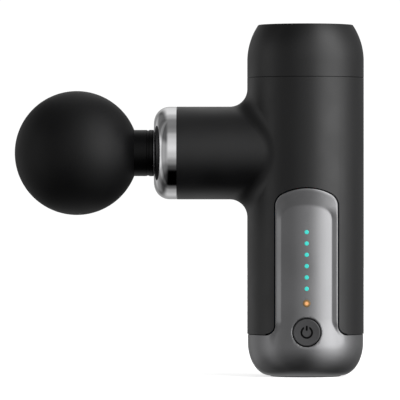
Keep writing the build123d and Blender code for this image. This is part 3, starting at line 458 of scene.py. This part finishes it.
def edge_distance(x, z):
    """Distance from the edge that faces the black housing."""
    if z > FOOT_TOP:
        return inside_arch(x, z, TONGUE_HALF, TONGUE_TOP, TONGUE_CORNER, TONGUE_ARCH)
    centre_x = TONGUE_HALF + FOOT_R
    if abs(x) > centre_x:
        return CUP_TOP - z
    squash = FOOT_R / (FOOT_TOP - CUP_TOP)
    return hypot(abs(x) - centre_x, (z - FOOT_TOP) * squash) - FOOT_R


def cup_radius(z, side, bottom, flat):
    """Half section of the cup: straight side above an elliptical shoulder."""
    if z >= CUP_SHOULDER:
        return side
    drop = (CUP_SHOULDER - z) / (CUP_SHOULDER - bottom)
    return flat + (side - flat) * sqrt(max(0.0, 1 - drop * drop))


def scoop_depth(x, z):
    """Depth of the finger scoop: a level floor between sloping sides, which runs out below the button."""
    spread = 0.8 * FOOT_R * smooth((FOOT_TOP + 2 * MM - z) / (8 * MM))
    edge_half = TONGUE_HALF - RIM + spread
    to_edge = inside_arch(x, z, edge_half, TONGUE_TOP - RIM, TONGUE_CORNER - RIM, TONGUE_ARCH - RIM)
    to_floor = -inside_arch(x, z, FLOOR_HALF + spread, FLOOR_TOP, FLOOR_CORNER, FLOOR_ARCH)
    if to_edge <= 0:
        return 0.0
    across = to_edge / (to_edge + max(0.0, to_floor))
    return FLOOR_DEPTH * eased_line(across) * smooth((z - RAMP[0]) / (RAMP[1] - RAMP[0]))


def outer_radius(x, z):
    to_hole = max(0.0, hypot(x, z - BUTTON_Z) - BUTTON_HOLE)
    rounded = max(0.0, EDGE_ROUND - max(0.0, min(edge_distance(x, z), to_hole)))
    corner = EDGE_ROUND - sqrt(EDGE_ROUND**2 - rounded**2)
    return cup_radius(z, BASE_R, CUP_BOTTOM, CUP_FLAT) - scoop_depth(x, z) - corner


def on_front(x, z, radius):
    return (x, -sqrt(max(0.0, radius * radius - x * x)), z)


def spaced(count, edge_steps):
    """Values from 0 to 1: even in the middle, with a few close to each end."""
    middle = [edge_steps[-1] + (1 - 2 * edge_steps[-1]) * i / count for i in range(count + 1)]
    return list(edge_steps[:-1]) + middle + [1 - step for step in reversed(edge_steps[:-1])]


def along(points, fraction):
    """Point at a fraction of the length of a run of points."""
    lengths = [hypot(b[0] - a[0], b[1] - a[1]) for a, b in zip(points, points[1:])]
    left = fraction * sum(lengths)
    for (a, b), length in zip(zip(points, points[1:]), lengths):
        if left <= length:
            part = left / length
            return (a[0] + (b[0] - a[0]) * part, a[1] + (b[1] - a[1]) * part)
        left -= length
    return points[-1]


def arc_points(centre, rx, rz, start, end, count=24):
    turn = [radians(start + (end - start) * i / count) for i in range(count + 1)]
    return [(centre[0] + rx * cos(a), centre[1] + rz * sin(a)) for a in turn]


def tongue_grid():
    """Rows of (x, z) points that follow the tongue's outline, from its foot to its top."""
    rise = arch_fit(TONGUE_HALF, TONGUE_CORNER, TONGUE_ARCH)
    corner_x = TONGUE_HALF - TONGUE_CORNER
    arch_z = TONGUE_TOP - TONGUE_ARCH
    corner_z = arch_z + rise
    lean = degrees(atan2(rise, corner_x))
    foot_centre = (TONGUE_HALF + FOOT_R, FOOT_TOP)
    foot = arc_points(foot_centre, FOOT_R, FOOT_TOP - CUP_TOP, 270, 180)
    side = foot + arc_points((corner_x, corner_z), TONGUE_CORNER, TONGUE_CORNER, 0, 40)
    bend = arc_points((corner_x, corner_z), TONGUE_CORNER, TONGUE_CORNER, 40, lean)
    arch = arc_points((0, arch_z), TONGUE_ARCH, TONGUE_ARCH, lean, 90)
    half_top = bend + arch[1:]
    top = [(-x, z) for x, z in half_top] + list(reversed(half_top))[1:]
    foot_x = foot_centre[0]
    across = spaced(84, (0.0, 0.0025, 0.007, 0.014))
    upward = [i / 150 for i in range(146)] + [0.974, 0.981, 0.988, 0.993, 0.9965, 0.9985, 1.0]
    low_left, low_right = (-foot_x, CUP_TOP), (foot_x, CUP_TOP)
    high_left, high_right = top[0], top[-1]
    rows = []
    for t in upward:
        right = along(side, t)
        left = (-right[0], right[1])
        row = []
        for s in across:
            bottom = (foot_x * (2 * s - 1), CUP_TOP)
            upper = along(top, s)
            point = []
            for k in (0, 1):
                ruled = (1 - t) * bottom[k] + t * upper[k] + (1 - s) * left[k] + s * right[k]
                corners = (1 - t) * ((1 - s) * low_left[k] + s * low_right[k])
                corners += t * ((1 - s) * high_left[k] + s * high_right[k])
                point.append(ruled - corners)
            row.append(tuple(point))
        rows.append(row)
    return rows


def turn_ring_back(add, angles, z, radius):
    """Adds the points of one ring round the back, and gives their indices."""
    return [add((radius * sin(a), -radius * cos(a), z)) for a in angles]


def make_base():
    vertices = []
    faces = []

    def add(point):
        vertices.append(point)
        return len(vertices) - 1

    def strip(first, second):
        """Faces between two runs of vertices of the same length."""
        for a, b, c, d in zip(first, first[1:], second[1:], second):
            faces.append((a, b, c, d))

    grid = tongue_grid()
    outer = [[add(on_front(x, z, outer_radius(x, z))) for x, z in row] for row in grid]
    inner = [[add(on_front(x, z, TONGUE_INNER)) for x, z in row] for row in grid]
    for low, high in zip(outer, outer[1:]):
        strip(low, high)
    for low, high in zip(inner, inner[1:]):
        strip(high, low)
    outline_out = [row[0] for row in outer] + outer[-1][1:-1] + [row[-1] for row in reversed(outer)]
    outline_in = [row[0] for row in inner] + inner[-1][1:-1] + [row[-1] for row in reversed(inner)]
    strip(outline_out, outline_in)

    front_x = [x for x, _ in grid[0]]
    last = asin(front_x[-1] / BASE_R)
    back_count = 116
    back = [last + (2 * pi - 2 * last) * i / back_count for i in range(1, back_count)]
    straight = [CUP_TOP - step * MM for step in (0, 0.06, 0.16, 0.32, 0.6, 1.0, 1.6, 2.2)]
    shoulder = [CUP_SHOULDER - (CUP_SHOULDER - CUP_BOTTOM) * sin(radians(a)) for a in range(0, 91, 2)]

    def turn_ring(z, radius_of):
        """One ring of the cup, from the left foot of the tongue round the front and back again."""
        ring = []
        for x in front_x:
            r = radius_of(x, z)
            angle = asin(x / BASE_R)
            ring.append(add((r * sin(angle), -r * cos(angle), z)))
        for angle in back:
            r = radius_of(BASE_R, z)
            ring.append(add((r * sin(angle), -r * cos(angle), z)))
        return ring

    def closed(ring):
        return ring + ring[:1]

    # the cup's own rings start under the tongue, whose lowest row is the first of them in front
    first_out = outer[0] + turn_ring_back(add, back, CUP_TOP, outer_radius(BASE_R, CUP_TOP))
    rings = [first_out]
    for z in straight[1:] + shoulder:
        rings.append(turn_ring(z, outer_radius))
    rings.append(turn_ring(CUP_BOTTOM, lambda x, z: CUP_FLAT - 0.1 * MM))
    rings.append(turn_ring(CUP_BOTTOM + 0.6 * MM, lambda x, z: CUP_FLAT - 0.1 * MM))
    for high, low in zip(rings, rings[1:]):
        strip(closed(low), closed(high))
    faces.append(tuple(rings[-1]))

    wall_bottom = CUP_BOTTOM + 2.0 * MM
    first_in = inner[0] + turn_ring_back(add, back, CUP_TOP, CUP_INNER)
    inner_rings = [first_in]
    front_count = len(front_x)
    step_z = 8.5 * MM
    depth = [CUP_TOP - 1 * MM, CUP_SHOULDER, 11 * MM, 8.6 * MM, 8.4 * MM, 7 * MM, 5.5 * MM, 4 * MM, 3 * MM]
    for z in depth:
        ring = []
        r = cup_radius(z, CUP_INNER, wall_bottom, CUP_FLAT - 0.8 * MM)
        for x in front_x:
            if z > step_z:
                ring.append(add(on_front(x, z, min(TONGUE_INNER, r))))
            else:
                angle = asin(x / BASE_R)
                ring.append(add((r * sin(angle), -r * cos(angle), z)))
        ring += turn_ring_back(add, back, z, r)
        inner_rings.append(ring)
    for high, low in zip(inner_rings, inner_rings[1:]):
        strip(closed(high), closed(low))
    faces.append(tuple(reversed(inner_rings[-1])))
    # the cup's rim, round the back from one foot of the tongue to the other
    strip(first_out[front_count - 1:] + first_out[:1], first_in[front_count - 1:] + first_in[:1])
    return mesh_piece("base_shell", vertices, faces)


def mesh_piece(name, vertices, faces):
    mesh = bpy.data.meshes.new(name)
    mesh.from_pydata(vertices, [], faces)
    mesh.validate()
    piece = bpy.data.objects.new(name, mesh)
    bpy.context.scene.collection.objects.link(piece)
    return piece


def cut_openings(piece):
    """Cuts the button hole, the light-pipe holes and the charging slot."""
    vertices = []
    faces = []

    def prism(outline, y0, y1):
        first = len(vertices)
        count = len(outline)
        vertices.extend([(x, y0, z) for x, z in outline] + [(x, y1, z) for x, z in outline])
        faces.append(tuple(range(first, first + count)))
        faces.append(tuple(reversed(range(first + count, first + 2 * count))))
        for i in range(count):
            j = (i + 1) % count
            faces.append((first + j, first + i, first + count + i, first + count + j))

    def round_hole(radius, z, count):
        return arc_points((0, z), radius, radius, 0, 360, count)[:-1]

    front = (-30 * MM, -10 * MM)
    prism(round_hole(BUTTON_HOLE, BUTTON_Z, 96), *front)
    for z in SPEED_LIGHTS:
        prism(round_hole(LIGHT_HOLE, z, 32), *front)
    prism(round_hole(CHARGE_HOLE, CHARGE_LIGHT, 40), *front)
    half_wide, half_tall = PORT_HALF
    right = arc_points((half_wide - half_tall, PORT_Z), half_tall, half_tall, -90, 90)
    left = arc_points((half_tall - half_wide, PORT_Z), half_tall, half_tall, 90, 270)
    prism(right + left, 15 * MM, 30 * MM)
    cutter = mesh_piece("cutter", vertices, faces)
    cut = piece.modifiers.new("openings", "BOOLEAN")
    cut.operation = "DIFFERENCE"
    cut.solver = "EXACT"
    cut.object = cutter
    result = bpy.data.meshes.new_from_object(piece.evaluated_get(bpy.context.evaluated_depsgraph_get()))
    piece.modifiers.clear()
    piece.data = result
    bpy.data.objects.remove(cutter)


def shade(piece, finish, body, *nodes):
    """Smooth shading with sharp edges kept, a finish, and the body and CAD nodes the piece stands for."""
    piece.data.materials.clear()
    piece.data.materials.append(FINISHES[finish])
    piece.data.shade_smooth()
    piece.data.set_sharp_from_angle(angle=radians(35))
    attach(piece, body)
    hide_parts(*nodes)


base = make_base()
cut_openings(base)
shade(base, "gunmetal", "housing", "base_cap")


# ---------------------------------------------------------------- nose ring
NOSE_LOW, NOSE_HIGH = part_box("nose_ring")
SEAL_LOW, SEAL_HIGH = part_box("dust_seal")
NOSE_Z = (NOSE_LOW[2] + NOSE_HIGH[2]) / 2
NOSE_R = 18.5 * MM
NOSE_INNER = 16.8 * MM
NOSE_BORE = (SEAL_HIGH[2] - SEAL_LOW[2]) / 2 + 0.1 * MM
NOSE_ROUND = (6.4 * MM, 6.8 * MM)     # length and depth of the rounded front edge
NOSE_WALL = 1.3 * MM
NOSE_HOLLOW = 4.3 * MM        # rounding inside, behind the front wall
NOSE_EDGE = 0.12 * MM
FULLNESS = 2.1                # power of the rounded edge: 2 is a plain ellipse
NOSE_STEPS = 40               # steps along the rounded edge
NOSE_AROUND = 144             # steps round the ring


def nose_section():
    """Closed half section as (x, radius) points: outer side, rounded front, lip, inside."""
    front, back = NOSE_LOW[0], NOSE_HIGH[0]
    long, deep = NOSE_ROUND
    section = [(back, NOSE_INNER), (back, NOSE_R - NOSE_EDGE), (back - NOSE_EDGE, NOSE_R)]
    for i in range(NOSE_STEPS + 1):
        turn = radians(90 * i / NOSE_STEPS)
        x = front + long * (1 - sin(turn) ** (2 / FULLNESS))
        radius = NOSE_R - deep * (1 - max(0.0, cos(turn)) ** (2 / FULLNESS))
        section.append((x, radius))
    section.append((front, NOSE_BORE + NOSE_EDGE))
    section.append((front + NOSE_EDGE, NOSE_BORE))
    section.append((front + NOSE_WALL, NOSE_BORE))
    centre = (front + NOSE_WALL + NOSE_HOLLOW, NOSE_INNER - NOSE_HOLLOW)
    return section + arc_points(centre, NOSE_HOLLOW, NOSE_HOLLOW, 180, 90, 12)


def make_nose():
    """Chromed ring turned about the barrel's axis."""
    section = nose_section()
    vertices = []
    faces = []
    for i in range(NOSE_AROUND):
        turn = 2 * pi * i / NOSE_AROUND
        vertices += [(x, r * sin(turn), NOSE_Z + r * cos(turn)) for x, r in section]
    size = len(section)
    for i in range(NOSE_AROUND):
        here = i * size
        there = (i + 1) % NOSE_AROUND * size
        for j in range(size):
            k = (j + 1) % size
            faces.append((here + j, here + k, there + k, there + j))
    return mesh_piece("nose_shell", vertices, faces)


nose = make_nose()
shade(nose, "nose_chrome", "housing", "nose_ring")
